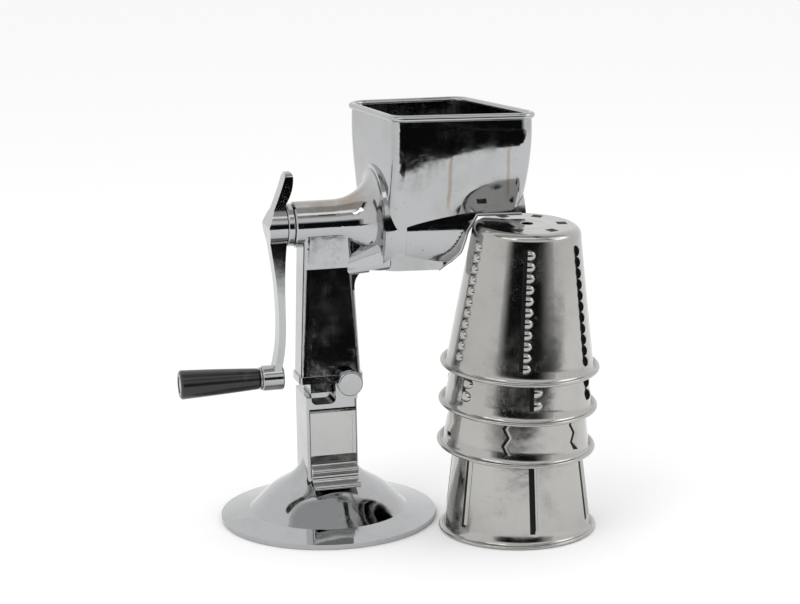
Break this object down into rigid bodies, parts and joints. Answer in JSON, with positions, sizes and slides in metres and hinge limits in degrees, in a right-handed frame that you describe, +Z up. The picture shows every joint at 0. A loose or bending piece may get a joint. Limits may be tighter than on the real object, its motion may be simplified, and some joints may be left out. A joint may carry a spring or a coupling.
{
  "type": "rotary shredder",
  "caption": "Hand-cranked rotary vegetable shredder with a suction base, lever, lock screw, open hopper, crank with a black grip, and a nested stack of drum cones",
  "frame": {"origin": "centre of the base's flat rest face on the table", "axes": "+Z up; +X along the crank shaft from the crank towards the open mouth of the hopper; -Y towards the suction lever and the lock screw"},
  "size_m": [0.2556, 0.1791, 0.2641],
  "materials": {
    "casting": "polished",
    "plate": "polished",
    "drum": "polished, tinned look",
    "steel": "satin",
    "bronze": "plain",
    "grip_plastic": "gloss",
    "cup_rubber": "matt"
  },
  "bodies": {
    "base": {"pedestal": "casting", "lever_pin": "steel"},
    "cup": {"lift_stem": "steel", "cup_plate": "steel", "suction_cup": "cup_rubber"},
    "lever": {"suction_lever": "plate", "link_pin": "steel"},
    "head": {"housing": "casting", "crank_bush": "bronze", "drum_bush": "bronze"},
    "screw": {"lock_screw": "casting"},
    "drive": {"drive_shaft": "steel", "drive_hub": "steel", "hub_screw": "steel", "crank_collar": "casting", "crank_arm": "casting", "crank_grub_screw": "steel", "grip_spindle": "steel", "grip_washer": "steel"},
    "handle": {"grip": "grip_plastic"},
    "slicer": {"cone_slicer": "drum"},
    "wavy": {"cone_wavy": "drum"},
    "coarse": {"cone_coarse": "drum"},
    "scallop": {"cone_scallop": "drum"}
  },
  "joints": [
    {"name": "lever_turn", "type": "hinge", "parent": "base", "child": "lever", "pos_m": [0, -0.014, 0.071], "axis": [-1, 0, 0], "range_deg": [0, 62]},
    {"name": "cup_lift", "type": "slide", "parent": "base", "child": "cup", "axis": [0, 0, 1], "range_m": [-0.004, 0], "deforming": ["suction_cup"]},
    {"name": "head_lift", "type": "slide", "parent": "base", "child": "head", "axis": [0, 0, 1], "range_m": [0, 0.022]},
    {"name": "lock_turn", "type": "hinge", "parent": "head", "child": "screw", "pos_m": [0.0112, -0.018, 0.0926], "axis": [0, -1, 0], "range_deg": [0, 360]},
    {"name": "crank_turn", "type": "hinge", "parent": "head", "child": "drive", "pos_m": [0, 0, 0.193], "axis": [1, 0, 0], "continuous": true},
    {"name": "grip_spin", "type": "hinge", "parent": "drive", "child": "handle", "pos_m": [-0.06, 0, 0.095], "axis": [1, 0, 0], "continuous": true},
    {"name": "stack_slide", "type": "slide", "parent": "base", "child": "slicer", "axis": [0, -1, 0], "range_m": [0, 0.08]},
    {"name": "wavy_spin", "type": "hinge", "parent": "slicer", "child": "wavy", "pos_m": [0.10935, -0.0566, 0.055], "axis": [0.0339, -0.0589, 0.9977], "continuous": true},
    {"name": "coarse_spin", "type": "hinge", "parent": "wavy", "child": "coarse", "pos_m": [0.11026, -0.05818, 0.0818], "axis": [0.0339, -0.0589, 0.9977], "continuous": true},
    {"name": "scallop_spin", "type": "hinge", "parent": "coarse", "child": "scallop", "pos_m": [0.11111, -0.05966, 0.1068], "axis": [0.0339, -0.0589, 0.9977], "continuous": true}
  ],
  "couplings": [
    {"joint": "lever_turn", "follows": "cup_lift", "rad_per_m": -261.79}
  ]
}
